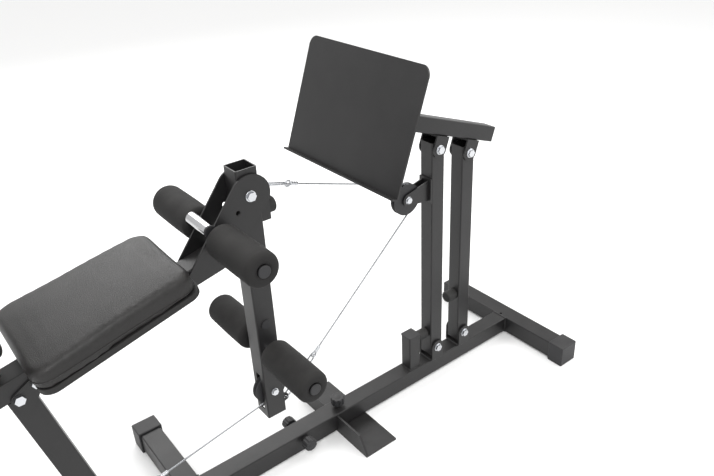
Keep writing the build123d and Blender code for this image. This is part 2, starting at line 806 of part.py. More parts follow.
def save_backrest():
    """Backrest hinged behind the seat, clamped by a knob and bolt in a pair of slotted quadrants."""
    pivot = back_pivot()
    lean = radians(back_angle)
    up = Vector(-cos(lean), 0, sin(lean))
    front = Vector(sin(lean), 0, cos(lean))
    face = seat_tube_width / 2
    pin = pivot + up * back_arm_along - front * back_arm_behind
    plates = []
    for low in (-face - plate_thick, face):
        plates.extend(plate_at(quadrant(pivot), low, plate_thick).solids())
    save("back_quadrants", Compound(children=plates))
    frame = tube(
        pivot - up * 20, pivot + up * (back_length - 40), back_tube_width, back_tube_height, seat_tube_wall
    )
    frame -= cross_rod(pivot.X, pivot.Z, link_bolt + 2 * fit, -60, 60)
    arm_root = pivot + up * back_arm_along - front * (back_tube_height / 2)
    arm = tube(arm_root, pin - front * 16, back_tube_width, back_tube_height, seat_tube_wall)
    arm -= cross_rod(pin.X, pin.Z, back_pin + 2 * fit, -60, 60)
    save("back_tube", frame + arm)
    outside = face + plate_thick + slot_gap
    head = Pos(pin.X, -outside - 3, pin.Z) * Rot(90, 0, 0) * fluted_knob(34, 20, 8, 4)
    shank = cross_rod(pin.X, pin.Z, back_pin, -outside - 3, outside)
    nut = hex_prism(pin.X, pin.Z, back_pin * hex_across, outside, outside + back_pin * hex_height)
    save("back_clamp_knob", head + shank + nut)
    pad_frame = Plane(origin=pivot, x_dir=up, z_dir=front)
    lift = back_tube_height / 2
    inset = 6
    board = tapered(
        back_pad_start + inset, back_length - inset, back_width - 2 * inset, back_width - 2 * inset,
        pad_corner - inset, lift, board_thick, pad_frame,
    )
    save("back_board", board)
    pad = tapered(
        back_pad_start, back_length, back_width, back_width,
        pad_corner, lift + board_thick, back_pad_thick, pad_frame,
    )
    top = pad.faces().sort_by(Axis(pivot, front))[-1]
    save("back_pad", fillet(top.edges(), 12))


def quadrant(pivot):
    """Slotted sector behind the hinge; the slot lies on the clamp bolt's circle."""
    reach = hypot(back_arm_along, back_arm_behind)
    rest = radians(back_angle) - atan2(back_arm_behind, back_arm_along)
    angles = [rest + radians(turn) for turn in (-recline_down - 1, (recline_up - recline_down) / 2, recline_up + 1)]
    spots = [(pivot.X - reach * cos(angle), pivot.Z + reach * sin(angle)) for angle in angles]
    corners = []
    for spot in spots:
        corners.extend((Pos(*spot) * Circle(16)).edges())
    corners.extend((Pos(pivot.X, pivot.Z) * Circle(17)).edges())
    foot = seat_point(back_pivot_x - 24, -seat_tube_height / 2)
    corners.extend((Pos(foot.X, foot.Z) * Circle(14)).edges())
    outline = make_hull(corners) - Pos(pivot.X, pivot.Z) * Circle(link_bolt / 2 + fit)
    return outline - SlotArc(ThreePointArc(*spots), back_pin + 2 * slot_gap)


def main():
    os.makedirs("parts", exist_ok=True)
    save_base()
    save_knobs()
    save_seat()
    save_side_plates()
    save_rollers("upper", upper_bar_x, upper_bar_z, bar_plugs(handle_x, handle_z, handle_length / 2))
    save_lever()
    save_rollers("lower", pivot_x, lower_bar_z, list(lever_hole_plug().solids()))
    save_cables()
    save_press()
    save_stops()
    save_backrest()
    save_frame_bolts()


main()
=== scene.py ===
import json
import math
import bpy
import bmesh
import numpy as np
from mathutils import Matrix, Vector
from mathutils.bvhtree import BVHTree


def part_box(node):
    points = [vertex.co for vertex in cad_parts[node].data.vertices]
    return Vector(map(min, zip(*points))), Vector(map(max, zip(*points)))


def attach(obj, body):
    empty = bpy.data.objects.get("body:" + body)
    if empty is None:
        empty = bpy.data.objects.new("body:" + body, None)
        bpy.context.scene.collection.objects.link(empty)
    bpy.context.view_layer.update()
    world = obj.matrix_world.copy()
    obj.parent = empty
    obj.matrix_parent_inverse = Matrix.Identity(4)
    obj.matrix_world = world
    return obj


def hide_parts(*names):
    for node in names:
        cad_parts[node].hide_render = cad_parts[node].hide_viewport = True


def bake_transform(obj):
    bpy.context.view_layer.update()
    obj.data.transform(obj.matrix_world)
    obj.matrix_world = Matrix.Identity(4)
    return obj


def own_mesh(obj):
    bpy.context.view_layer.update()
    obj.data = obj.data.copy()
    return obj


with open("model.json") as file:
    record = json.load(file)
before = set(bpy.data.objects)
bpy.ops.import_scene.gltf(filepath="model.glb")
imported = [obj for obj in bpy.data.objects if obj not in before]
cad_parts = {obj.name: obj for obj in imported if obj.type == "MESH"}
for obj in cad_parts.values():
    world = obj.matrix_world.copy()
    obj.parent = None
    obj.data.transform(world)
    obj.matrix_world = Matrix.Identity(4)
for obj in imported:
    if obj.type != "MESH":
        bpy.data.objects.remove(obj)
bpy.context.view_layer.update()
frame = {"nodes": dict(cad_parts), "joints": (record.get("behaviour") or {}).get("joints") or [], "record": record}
nodes = frame["nodes"]
record = frame["record"]
joints = {j["name"]: j for j in frame["joints"]}
yAxis = Vector((0, 1, 0))
print("frame loaded:", len(nodes), "nodes")


def middle(node):
    low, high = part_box(node)
    return (low + high) / 2


def jointPlace(name):
    return Vector(joints[name]["pos_m"])


def link(obj):
    bpy.context.scene.collection.objects.link(obj)
    return obj


def finishMesh(name, bm):
    bmesh.ops.remove_doubles(bm, verts=bm.verts, dist=1e-6)
    bmesh.ops.recalc_face_normals(bm, faces=bm.faces)
    mesh = bpy.data.meshes.new(name)
    bm.to_mesh(mesh)
    bm.free()
    mesh.shade_smooth()
    mesh.set_sharp_from_angle(angle=math.radians(38))
    return link(bpy.data.objects.new(name, mesh))


# a turned piece: (radius, along) pairs spun about an axis through centre
def turned(name, profile, centre, axis, steps=40, closed=True):
    bm = bmesh.new()
    verts = [bm.verts.new((r, 0, h)) for r, h in profile]
    edges = [bm.edges.new(pair) for pair in zip(verts, verts[1:])]
    if closed:
        edges.append(bm.edges.new((verts[-1], verts[0])))
    bmesh.ops.spin(bm, geom=verts + edges, cent=(0, 0, 0), axis=(0, 0, 1), angle=2 * math.pi,
                   steps=steps, use_merge=True)
    turn = Vector((0, 0, 1)).rotation_difference(Vector(axis)).to_matrix().to_4x4()
    bm.transform(Matrix.Translation(centre) @ turn)
    return finishMesh(name, bm)


# a curve through points, made a mesh; section may be a second curve
def swept(name, points, radius, closed=False, radii=None, tilts=None, section=None, sides=3):
    curve = bpy.data.curves.new(name, "CURVE")
    curve.dimensions = "3D"
    curve.twist_mode = "Z_UP"
    spline = curve.splines.new("POLY")
    spline.points.add(len(points) - 1)
    for i, p in enumerate(points):
        spline.points[i].co = (*p, 1)
        spline.points[i].radius = radii[i] if radii else 1
        spline.points[i].tilt = tilts[i] if tilts else 0
    spline.use_cyclic_u = closed
    if section:
        curve.bevel_mode = "OBJECT"
        curve.bevel_object = section
    else:
        curve.bevel_depth = radius
        curve.bevel_resolution = sides
    curve.use_fill_caps = not closed
    holder = link(bpy.data.objects.new(name + ".path", curve))
    bpy.context.view_layer.update()
    mesh = bpy.data.meshes.new_from_object(holder.evaluated_get(bpy.context.evaluated_depsgraph_get()))
    bpy.data.objects.remove(holder)
    mesh.name = name
    bm = bmesh.new()
    bm.from_mesh(mesh)
    bmesh.ops.remove_doubles(bm, verts=bm.verts, dist=1e-6)
    bmesh.ops.recalc_face_normals(bm, faces=bm.faces)
    bm.to_mesh(mesh)
    bm.free()
    mesh.shade_smooth()
    mesh.set_sharp_from_angle(angle=math.radians(50))
    return link(bpy.data.objects.new(name, mesh))


def newGroup(name, inputs, outputs):
    group = bpy.data.node_groups.new(name, "ShaderNodeTree")
    for label, kind, value in inputs:
        sock = group.interface.new_socket(label, in_out="INPUT", socket_type=kind)
        if value is not None:
            sock.default_value = value
    for label, kind in outputs:
        group.interface.new_socket(label, in_out="OUTPUT", socket_type=kind)
    return group, group.nodes.new("NodeGroupInput"), group.nodes.new("NodeGroupOutput")


def add(tree, kind, **values):
    node = tree.nodes.new(kind)
    for key, value in values.items():
        setattr(node, key, value)
    return node


def math2(tree, operation, a, b, clamp=False):
    node = add(tree, "ShaderNodeMath", operation=operation, use_clamp=clamp)
    for i, v in enumerate((a, b)):
        if hasattr(v, "links"):
            tree.links.new(v, node.inputs[i])
        else:
            node.inputs[i].default_value = v
    return node.outputs[0]


def mixColour(tree, factor, a, b):
    node = add(tree, "ShaderNodeMix", data_type="RGBA")
    for slot, v in ((0, factor), (6, a), (7, b)):
        if hasattr(v, "links"):
            tree.links.new(v, node.inputs[slot])
        else:
            node.inputs[slot].default_value = v
    return node.outputs[2]


mottleSettings = dict(patchDetail=4, speckDetail=2, scuffDetail=9, scuffRough=0.72, scuffFrom=0.6,
                      scuffTo=0.72)


# soft mottling of colour and gloss: broad patches, fine speckle and rare scuffs
def buildMottle():
    s = mottleSettings
    group, gin, gout = newGroup("mottle", [
        ("Vector", "NodeSocketVector", None), ("Patch scale", "NodeSocketFloat", 9.0),
        ("Speck scale", "NodeSocketFloat", 600.0), ("Scuff scale", "NodeSocketFloat", 35.0),
        ("Scuff amount", "NodeSocketFloat", 0.3)],
        [("Patch", "NodeSocketFloat"), ("Speck", "NodeSocketFloat"), ("Scuff", "NodeSocketFloat")])
    patch = add(group, "ShaderNodeTexNoise")
    patch.inputs["Detail"].default_value = s["patchDetail"]
    speck = add(group, "ShaderNodeTexNoise")
    speck.inputs["Detail"].default_value = s["speckDetail"]
    scuff = add(group, "ShaderNodeTexNoise")
    scuff.inputs["Detail"].default_value = s["scuffDetail"]
    scuff.inputs["Roughness"].default_value = s["scuffRough"]
    for node, scale in ((patch, "Patch scale"), (speck, "Speck scale"), (scuff, "Scuff scale")):
        group.links.new(gin.outputs["Vector"], node.inputs["Vector"])
        group.links.new(gin.outputs[scale], node.inputs["Scale"])
    ramp = add(group, "ShaderNodeMapRange")
    ramp.inputs["From Min"].default_value = s["scuffFrom"]
    ramp.inputs["From Max"].default_value = s["scuffTo"]
    group.links.new(scuff.outputs[0], ramp.inputs[0])
    group.links.new(patch.outputs[0], gout.inputs["Patch"])
    group.links.new(speck.outputs[0], gout.inputs["Speck"])
    amount = math2(group, "MULTIPLY", ramp.outputs[0], gin.outputs["Scuff amount"])
    group.links.new(amount, gout.inputs["Scuff"])
    return group


# painted sheen on faces that look up: scale and detail of its noisy patches
topSheenSettings = dict(scale=26, detail=7)


# painted sheen: faces that look up are lightened towards a warm grey, in noisy patches
def buildTopSheen():
    group, gin, gout = newGroup("topSheen", [
        ("Vector", "NodeSocketVector", None), ("Amount", "NodeSocketFloat", 0.1)],
        [("TopSheen", "NodeSocketFloat")])
    geo = add(group, "ShaderNodeNewGeometry")
    split = add(group, "ShaderNodeSeparateXYZ")
    group.links.new(geo.outputs["Normal"], split.inputs[0])
    cloud = add(group, "ShaderNodeTexNoise")
    cloud.inputs["Scale"].default_value = topSheenSettings["scale"]
    cloud.inputs["Detail"].default_value = topSheenSettings["detail"]
    group.links.new(gin.outputs["Vector"], cloud.inputs["Vector"])
    up = math2(group, "MULTIPLY", split.outputs["Z"], cloud.outputs[0], True)
    group.links.new(math2(group, "MULTIPLY", up, gin.outputs["Amount"]), gout.inputs["TopSheen"])
    return group


pebbleSettings = dict(warpScale=150, warpShift=0.004, edge=0.22)


# raised pebbles of vinyl grain; the creases between them give a mask for painted shade
def buildPebble():
    group, gin, gout = newGroup("pebble", [
        ("Vector", "NodeSocketVector", None), ("Scale", "NodeSocketFloat", 420.0)],
        [("Height", "NodeSocketFloat"), ("CreaseShade", "NodeSocketFloat")])
    warp = add(group, "ShaderNodeTexNoise")
    warp.inputs["Scale"].default_value = pebbleSettings["warpScale"]
    group.links.new(gin.outputs["Vector"], warp.inputs["Vector"])
    shift = add(group, "ShaderNodeVectorMath", operation="SCALE")
    shift.inputs["Scale"].default_value = pebbleSettings["warpShift"]
    group.links.new(warp.outputs["Color"], shift.inputs[0])
    moved = add(group, "ShaderNodeVectorMath", operation="ADD")
    group.links.new(gin.outputs["Vector"], moved.inputs[0])
    group.links.new(shift.outputs[0], moved.inputs[1])
    cells = add(group, "ShaderNodeTexVoronoi", feature="DISTANCE_TO_EDGE")
    group.links.new(moved.outputs[0], cells.inputs["Vector"])
    group.links.new(gin.outputs["Scale"], cells.inputs["Scale"])
    ramp = add(group, "ShaderNodeMapRange", interpolation_type="SMOOTHSTEP")
    ramp.inputs["From Max"].default_value = pebbleSettings["edge"]
    group.links.new(cells.outputs["Distance"], ramp.inputs[0])
    group.links.new(ramp.outputs[0], gout.inputs["Height"])
    group.links.new(math2(group, "SUBTRACT", 1.0, ramp.outputs[0]), gout.inputs["CreaseShade"])
    return group


mottle = buildMottle()
topSheen = buildTopSheen()
pebble = buildPebble()


# swing is how far the roughness varies, speck is the texture's scale, bump is a height in metres; the last value
# is how strongly faces that look up are lightened, as painted sheen
finishes = {
    "powder_coat": dict(dark=(0.0075, 0.0073, 0.0076, 1), light=(0.0150, 0.0145, 0.0150, 1), rough=0.40,
                        swing=0.14, metal=0, coat=0, speck=950, bump=0.00011, scuff=0.22, topSheen=0.05),
    "vinyl": dict(dark=(0.0055, 0.0050, 0.0048, 1), light=(0.0115, 0.0100, 0.0095, 1), rough=0.40, swing=0.12,
                  metal=0, coat=0.03, speck=420, bump=0.00028, scuff=0.10, topSheen=0.05, grain=True),
    "foam": dict(dark=(0.0055, 0.0052, 0.0052, 1), light=(0.0115, 0.0108, 0.0108, 1), rough=0.86, swing=0.12,
                 metal=0, coat=0, speck=1300, bump=0.00035, scuff=0.18, topSheen=0.08),
    "black_plastic": dict(dark=(0.010, 0.010, 0.011, 1), light=(0.018, 0.018, 0.020, 1), rough=0.50,
                          swing=0.12, metal=0, coat=0, speck=1600, bump=0.00010, scuff=0.25, topSheen=0.10),
    "black_rubber": dict(dark=(0.009, 0.009, 0.009, 1), light=(0.018, 0.018, 0.018, 1), rough=0.74,
                         swing=0.14, metal=0, coat=0, speck=1100, bump=0.00014, scuff=0.3, topSheen=0.12),
    "backing": dict(dark=(0.0055, 0.0052, 0.005, 1), light=(0.012, 0.0112, 0.0108, 1), rough=0.58, swing=0.12,
                    metal=0, coat=0, speck=520, bump=0.00022, scuff=0.12, topSheen=0.04, grain=True),
    "chrome_tube": dict(dark=(0.40, 0.40, 0.41, 1), light=(0.56, 0.56, 0.57, 1), rough=0.16, swing=0.10,
                        metal=1, coat=0, speck=300, bump=0.00001, scuff=0.25, topSheen=0.03),
    "zinc": dict(dark=(0.40, 0.41, 0.43, 1), light=(0.66, 0.67, 0.69, 1), rough=0.26, swing=0.18,
                 metal=1, coat=0, speck=700, bump=0.00003, scuff=0.35, topSheen=0.05),
    "wire_rope": dict(dark=(0.22, 0.225, 0.235, 1), light=(0.50, 0.51, 0.53, 1), rough=0.30, swing=0.18,
                      metal=1, coat=0, speck=900, bump=0.00004, scuff=0.4, topSheen=0.0),
    "weld": dict(dark=(0.0075, 0.0073, 0.0076, 1), light=(0.016, 0.0155, 0.016, 1), rough=0.42, swing=0.16,
                 metal=0, coat=0, speck=800, bump=0.00016, scuff=0.2, topSheen=0.05),
}


# the near-black crease colour and its amount are painted shade in the vinyl grain's creases
shadeSettings = dict(grainSpeck=0.3, creaseShadeAmount=0.5, creaseShade=(0.004, 0.004, 0.004, 1), wornLift=2.1,
                     # the warm grey below is the painted sheen colour for faces that look up
                     topSheen=(0.30, 0.29, 0.275, 1), scuffRough=0.35, coatRough=0.3, metalSpecular=0.5,
                     plainSpecular=0.36, bumpStrength=0.7)


def makeMaterial(name, s):
    shade = shadeSettings
    mat = bpy.data.materials.new(name)
    mat.use_nodes = True
    tree = mat.node_tree
    shader = tree.nodes["Principled BSDF"]
    coords = add(tree, "ShaderNodeTexCoord")
    vector = coords.outputs["Object"]
    mottled = add(tree, "ShaderNodeGroup", node_tree=mottle)
    topSheenNode = add(tree, "ShaderNodeGroup", node_tree=topSheen)
    for node in (mottled, topSheenNode):
        tree.links.new(vector, node.inputs["Vector"])
    mottled.inputs["Speck scale"].default_value = s["speck"]
    mottled.inputs["Scuff amount"].default_value = s["scuff"]
    topSheenNode.inputs["Amount"].default_value = s["topSheen"]
    colour = mixColour(tree, mottled.outputs["Patch"], s["dark"], s["light"])
    height = mottled.outputs["Speck"]
    if s.get("grain"):
        grain = add(tree, "ShaderNodeGroup", node_tree=pebble)
        tree.links.new(vector, grain.inputs["Vector"])
        grain.inputs["Scale"].default_value = s["speck"]
        fine = math2(tree, "MULTIPLY", height, shade["grainSpeck"])
        height = math2(tree, "ADD", grain.outputs["Height"], fine)
        # painted shade: the grain's creases are darkened in the colour
        creaseShade = math2(tree, "MULTIPLY", grain.outputs["CreaseShade"], shade["creaseShadeAmount"])
        colour = mixColour(tree, creaseShade, colour, shade["creaseShade"])
    worn = tuple(min(1.0, c * shade["wornLift"]) for c in s["light"][:3]) + (1,)
    colour = mixColour(tree, mottled.outputs["Scuff"], colour, worn)
    # painted sheen: faces that look up are lightened towards a warm grey, in noisy patches
    colour = mixColour(tree, topSheenNode.outputs["TopSheen"], colour, shade["topSheen"])
    tree.links.new(colour, shader.inputs["Base Color"])
    gloss = math2(tree, "MULTIPLY", math2(tree, "SUBTRACT", mottled.outputs["Patch"], 0.5), 2 * s["swing"])
    gloss = math2(tree, "ADD", gloss, s["rough"])
    scuffed = math2(tree, "MULTIPLY", mottled.outputs["Scuff"], shade["scuffRough"])
    gloss = math2(tree, "ADD", gloss, scuffed, True)
    tree.links.new(gloss, shader.inputs["Roughness"])
    shader.inputs["Metallic"].default_value = s["metal"]
    shader.inputs["Coat Weight"].default_value = s["coat"]
    shader.inputs["Coat Roughness"].default_value = shade["coatRough"]
    specular = shade["metalSpecular"] if s["metal"] else shade["plainSpecular"]
    shader.inputs["Specular IOR Level"].default_value = specular
    bump = add(tree, "ShaderNodeBump")
    bump.inputs["Strength"].default_value = shade["bumpStrength"]
    bump.inputs["Distance"].default_value = s["bump"]
    tree.links.new(height, bump.inputs["Height"])
    tree.links.new(bump.outputs[0], shader.inputs["Normal"])
    return mat


materials = {name: makeMaterial(name, values) for name, values in finishes.items()}
nodeSlots = {s["node"]: s["material_slot"] for s in record["subparts"]}
for name, obj in nodes.items():
    obj.data.materials.clear()
    obj.data.materials.append(materials[nodeSlots[name]])


# gives a piece its finish, its body and, where it stands for one, its CAD node
def dress(obj, body, finish, *replaced, slotName=None):
    obj.data.materials.clear()
    obj.data.materials.append(materials[finish])
    if body:
        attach(obj, body)
    if replaced:
        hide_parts(*replaced)
    return obj


print("finishes ready:", len(materials))


padSettings = dict(shrink=0.0045, topShrink=1.1, voxel=0.0055, heldBelow=0.004, quality=6, pressure=2.6,
                   tension=18, compression=12, bending=0.6, frames=20, cap=0.008, evenOut=140, smooth=2,
                   weltRadius=0.0012, weltHeight=0.30, weltPoints=150, weltReach=0.6)


def upholster(name, node, board, body):
    s = padSettings
    source = nodes[node]
    bm = bmesh.new()
    bm.from_mesh(source.data)
    bmesh.ops.remove_doubles(bm, verts=bm.verts, dist=1e-5)
    bmesh.ops.recalc_face_normals(bm, faces=bm.faces)
    centre = middle(node)
    normal = (centre - middle(board)).normalized()
    along = yAxis.cross(normal).normalized()
    heights = [(v.co - centre).dot(normal) for v in bm.verts]
    base = min(heights)
    thick = max(heights) - base
    spans = [max(abs((v.co - centre).dot(d)) for v in bm.verts) for d in (along, yAxis)]
    for v in bm.verts:
        offset = v.co - centre
        for d, span in zip((along, yAxis), spans):
            v.co -= d * offset.dot(d) / span * s["shrink"]
        lift = (offset.dot(normal) - base) / thick
        v.co -= normal * s["shrink"] * s["topShrink"] * lift
    mesh = bpy.data.meshes.new(name)
    bm.to_mesh(mesh)
    bm.free()
    pad = link(bpy.data.objects.new(name, mesh))
    bpy.context.view_layer.objects.active = pad
    remesh = pad.modifiers.new("remesh", "REMESH")
    remesh.mode = "VOXEL"
    remesh.voxel_size = s["voxel"]
    bake(pad)
    start = [v.co.copy() for v in pad.data.vertices]
    held = pad.vertex_groups.new(name="held")
    for v in pad.data.vertices:
        lift = (v.co - centre).dot(normal) - base
        held.add([v.index], 1.0 if lift < s["heldBelow"] else 0.0, "REPLACE")
    cloth = pad.modifiers.new("swell", "CLOTH")
    cloth.settings.quality = s["quality"]
    cloth.settings.use_pressure = True
    cloth.settings.uniform_pressure_force = s["pressure"]
    cloth.settings.tension_stiffness = s["tension"]
    cloth.settings.compression_stiffness = s["compression"]
    cloth.settings.bending_stiffness = s["bending"]
    cloth.settings.vertex_group_mass = "held"
    cloth.settings.effector_weights.gravity = 0
    cloth.collision_settings.use_collision = False
    cloth.point_cache.frame_end = s["frames"]
    for number in range(1, s["frames"] + 1):
        bpy.context.scene.frame_set(number)
    bake(pad)
    bpy.context.scene.frame_set(1)
    settle(pad.data, start, s["cap"], s["evenOut"])
    pad.vertex_groups.clear()
    bm = bmesh.new()
    bm.from_mesh(pad.data)
    for turn in range(s["smooth"]):
        bmesh.ops.smooth_vert(bm, verts=bm.verts, factor=0.5, use_axis_x=True, use_axis_y=True,
                              use_axis_z=True)
    bmesh.ops.recalc_face_normals(bm, faces=bm.faces)
    bm.to_mesh(pad.data)
    tree = BVHTree.FromBMesh(bm)
    bm.free()
    sub = pad.modifiers.new("rounder", "SUBSURF")
    sub.levels = 1
    sub.render_levels = 1
    pad.data.shade_smooth()
    dress(pad, body, "vinyl", node)
    # the welt is found by rays towards the middle line of the pad
    loop = []
    level = centre + normal * (base + thick * s["weltHeight"])
    for i in range(s["weltPoints"]):
        angle = 2 * math.pi * i / s["weltPoints"]
        way = (along * math.cos(angle) * spans[0] + yAxis * math.sin(angle) * spans[1]).normalized()
        hit = tree.ray_cast(level + way * s["weltReach"], -way)
        if hit[0]:
            loop.append(hit[0])
    welt = swept(name + "Welt", loop, s["weltRadius"], closed=True, sides=2)
    dress(welt, body, "vinyl")


# caps how far the cover has moved, then evens the swelling out so that the cover lies tight
def settle(mesh, start, cap, rounds):
    moves = np.array([(v.co - p) if (v.co - p).length < cap else (v.co - p).normalized() * cap
                      for v, p in zip(mesh.vertices, start)], float)
    pairs = np.array([tuple(e.vertices) for e in mesh.edges])
    count = np.bincount(pairs.ravel(), minlength=len(moves))[:, None]
    still = np.linalg.norm(moves, axis=1) < 1e-7
    for number in range(rounds):
        total = np.zeros_like(moves)
        np.add.at(total, pairs[:, 0], moves[pairs[:, 1]])
        np.add.at(total, pairs[:, 1], moves[pairs[:, 0]])
        moves = 0.4 * moves + 0.6 * total / count
        moves[still] = 0
    for v, p, move in zip(mesh.vertices, start, moves):
        v.co = p + Vector(move)


# leaves the modifiers' result as the mesh
def bake(obj):
    bpy.context.view_layer.update()
    done = bpy.data.meshes.new_from_object(obj.evaluated_get(bpy.context.evaluated_depsgraph_get()))
    obj.modifiers.clear()
    obj.data = done


upholster("seatCushion", "seat_pad", "seat_board", "frame")
upholster("backCushion", "back_pad", "back_board", "backrest")
print("pads done")


rollerSettings = dict(edge=0.011, bulge=0.0006, clear=0.0002, dimple=0.0035, shoulder=6, steps=56,
                      stations=(0.85, 0.6, 0.3, 0, -0.3, -0.6, -0.85))


def foamRoller(node, body):
    s = rollerSettings
    low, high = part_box(node)
    half = (high.y - low.y) / 2
    radius = (high.x - low.x) / 2 - s["bulge"]
    bore = (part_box("lower_roller_bar")[1].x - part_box("lower_roller_bar")[0].x) / 2 + s["clear"]
    side = []
    for i in range(s["shoulder"] + 1):      # rounded shoulder
        angle = math.pi / 2 * i / s["shoulder"]
        side.append((radius - s["edge"] + s["edge"] * math.sin(angle),
                     half - s["edge"] + s["edge"] * math.cos(angle)))
    barrel = [(radius + s["bulge"] * math.cos(math.pi * t / 2), (half - s["edge"]) * t)
              for t in s["stations"]]
    end = [(bore, half - s["dimple"]), (bore + 0.003, half - 0.001), (bore + 0.006, half)]
    profile = end + side + barrel + [(r, -h) for r, h in reversed(side)] + [(r, -h) for r, h in reversed(end)]
    roller = turned(node + "Foam", profile, middle(node), yAxis, steps=s["steps"])
    dress(roller, body, "foam", node)


for place in ("upper", "lower"):
    for sideName in ("near", "far"):
        foamRoller(f"{place}_roller_{sideName}", f"{place}_roller_{sideName}")
print("rollers done")


cableSettings = dict(radius=0.002, strands=7, strandDepth=0.14, lay=0.030, step=0.0032,
                     pulleyGap=0.0353,
                     eye=0.006, eyePoints=28, eyeGap=0.012, overlap=0.03, wrapPoints=36, stackPoints=44,
                     upperEye=(0.058, 0, -0.016), lowerEye=(0.088, 0, 0.078), hookLength=0.062, stopRun=0.017,
                     sleeve=[(0, 0.006), (0.0034, 0.006), (0.0044, 0.0075), (0.0044, 0.0115), (0.0039, 0.0122),
                             (0.0044, 0.013), (0.0044, 0.017), (0.0039, 0.0177), (0.0044, 0.0185),
                             (0.0044, 0.0225), (0.0034, 0.024), (0, 0.024)],
                     stop=[(0, -0.0065), (0.0022, -0.0065), (0.0026, -0.006), (0.0026, -0.0005), (0.0022, 0),
                           (0, 0)])


def strandSection():
    curve = bpy.data.curves.new("strandSection", "CURVE")
    curve.dimensions = "2D"
    count = cableSettings["strands"]
    spline = curve.splines.new("POLY")
    total = count * 4
    spline.points.add(total - 1)
    for i in range(total):
        angle = 2 * math.pi * i / total
        depth = cableSettings["strandDepth"]
        r = cableSettings["radius"] * (1 - depth + depth * math.cos(count * angle))
        spline.points[i].co = (r * math.cos(angle), r * math.sin(angle), 0, 1)
    spline.use_cyclic_u = True
    return link(bpy.data.objects.new("strandSection", curve))


section = strandSection()


def spaced(points, step):
    out = [Vector(points[0])]
    for a, b in zip(points, points[1:]):
        a, b = Vector(a), Vector(b)
        count = max(1, round((b - a).length / step))
        out += [a.lerp(b, i / count) for i in range(1, count + 1)]
    return out


def rope(name, points):
    route = spaced(points, cableSettings["step"])
    length = 0
    tilts = [0.0]
    for a, b in zip(route, route[1:]):
        length += (b - a).length
        tilts.append(2 * math.pi * length / cableSettings["lay"])
    return swept(name, route, 0, tilts=tilts, section=section)


# where a straight line from a point touches a circle in the XZ plane
def touch(point, centre, radius, turn):
    d = centre - point
    reach = math.hypot(d.x, d.z)
    run = math.sqrt(reach ** 2 - radius ** 2)
    angle = math.atan2(d.z, d.x) + turn * math.atan2(radius, run)
    return point + Vector((math.cos(angle), 0, math.sin(angle))) * run


# thimble eye with its crimp sleeve at a rope's end
def ropeEnd(name, centre, towards, body):
    s = cableSettings
    way = (towards - centre).normalized()
    across = yAxis.cross(way)
    ring = [centre + way * math.cos(a) * s["eye"] + across * math.sin(a) * s["eye"]
            for a in (2 * math.pi * i / s["eyePoints"] for i in range(s["eyePoints"]))]
    loop = swept(name + "Eye", ring, s["radius"], closed=True)
    dress(loop, body, "wire_rope")
    sleeve = turned(name + "Sleeve", s["sleeve"], centre, way, 24, closed=False)
    dress(sleeve, body, "zinc")


wheel = jointPlace("press_pulley_spin")
clipHole = jointPlace("press_cable_clip_swing")
linkHole = jointPlace("press_cable_link_swing")
pulleyGap, eyeGap, overlap = (cableSettings[key] for key in ("pulleyGap", "eyeGap", "overlap"))
upperEye = clipHole + Vector(cableSettings["upperEye"])
lowerEye = linkHole + Vector(cableSettings["lowerEye"])
topTouch = touch(upperEye, wheel, pulleyGap, 1)
lowTouch = touch(lowerEye, wheel, pulleyGap, -1)
upperWay = (topTouch - upperEye).normalized()
lowerWay = (lowTouch - lowerEye).normalized()



# points on an arc about a pulley's centre, in the XZ plane
def arc(centre, first, last, count):
    return [centre + Vector((math.cos(a), 0, math.sin(a))) * pulleyGap
            for a in (first + (last - first) * i / count for i in range(count + 1))]


def bearing(point, centre):
    return math.atan2((point - centre).z, (point - centre).x)


upperRun = rope("pressCableUpper", [upperEye + upperWay * eyeGap, topTouch])
dress(upperRun, None, "wire_rope", "press_cable")
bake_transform(upperRun)
wrap = [topTouch - upperWay * overlap]
wrap += arc(wheel, bearing(topTouch, wheel), bearing(lowTouch, wheel), cableSettings["wrapPoints"])
wrap.append(lowTouch - lowerWay * overlap)
dress(rope("pressCableWrap", wrap), "rear_upright", "wire_rope", "press_cable")
lowerRun = rope("pressCableLower", [lowerEye + lowerWay * eyeGap, lowTouch])
dress(lowerRun, "press_cable_link", "wire_rope", "press_cable")
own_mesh(lowerRun)
ropeEnd("pressUpper", upperEye, topTouch, "press_cable_clip")
ropeEnd("pressLower", lowerEye, lowTouch, "press_cable_link")

stackAxle = jointPlace("weight_cable_swing")
hookMount = next(m for m in record["mounts"] if m["name"] == "weight_cable_hook")
stackWay = Vector(hookMount["axis"]).normalized()
stackUnder = stackAxle + Vector((-stackWay.z, 0, stackWay.x)) * pulleyGap
stackEye = Vector(hookMount["pos_m"]) - stackWay * cableSettings["hookLength"]
over = stackAxle + Vector((0, 0, pulleyGap))
ropeStop = over - Vector((cableSettings["stopRun"], 0, 0))
first, last = bearing(stackUnder, stackAxle), bearing(over, stackAxle)
if last < first:
    last += 2 * math.pi
loopPoints = [stackEye - stackWay * eyeGap, stackUnder]
loopPoints += arc(stackAxle, first, last, cableSettings["stackPoints"])
loopPoints.append(ropeStop)
dress(rope("weightCableRope", loopPoints), "weight_cable", "wire_rope", "weight_cable")
ropeEnd("weight", stackEye, stackUnder, "weight_cable")
sleeve = turned("weightStop", cableSettings["stop"], ropeStop, (-1, 0, 0), 24, closed=False)
dress(sleeve, "weight_cable", "zinc")
bpy.data.objects.remove(section)
print("cables done")


washerSettings = dict(thick=0.0013, chamfer=0.0003, steps=36, bumperSink=0.0006, pulleyFace=0.0115,
                      pivot=(0.0115, 0.0052), axle=(0.0088, 0.0042), bumper=(0.0105, 0.003))


